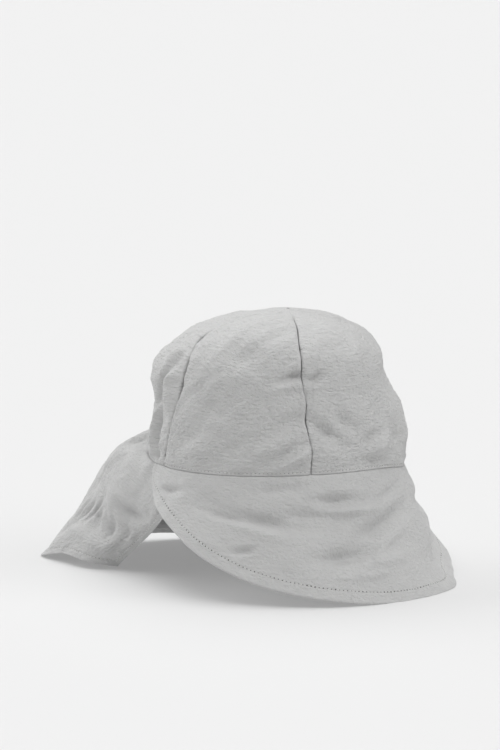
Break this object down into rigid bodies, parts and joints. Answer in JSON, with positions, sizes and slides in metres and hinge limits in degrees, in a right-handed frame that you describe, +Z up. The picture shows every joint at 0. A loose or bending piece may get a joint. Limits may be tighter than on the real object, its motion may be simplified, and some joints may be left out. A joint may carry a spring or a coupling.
{
  "type": "legionnaire cap",
  "caption": "Child's soft sun hat with a panelled crown, a drooping brim round the front and sides, and a flap over the neck.",
  "frame": {"origin": "on the surface the hat rests on, under the middle of its box", "axes": "+Z up, -Y the way the hat faces, -X the wearer's right"},
  "size_m": [0.2002, 0.269, 0.1655],
  "materials": {
    "crinkled_cloth": "matt, finely crinkled, pale grey"
  },
  "bodies": {
    "root": {"panel_front": "crinkled_cloth", "panel_right": "crinkled_cloth", "panel_left": "crinkled_cloth", "panel_rear_right": "crinkled_cloth", "panel_rear_left": "crinkled_cloth", "brim": "crinkled_cloth", "neck_flap": "crinkled_cloth"}
  },
  "joints": []
}
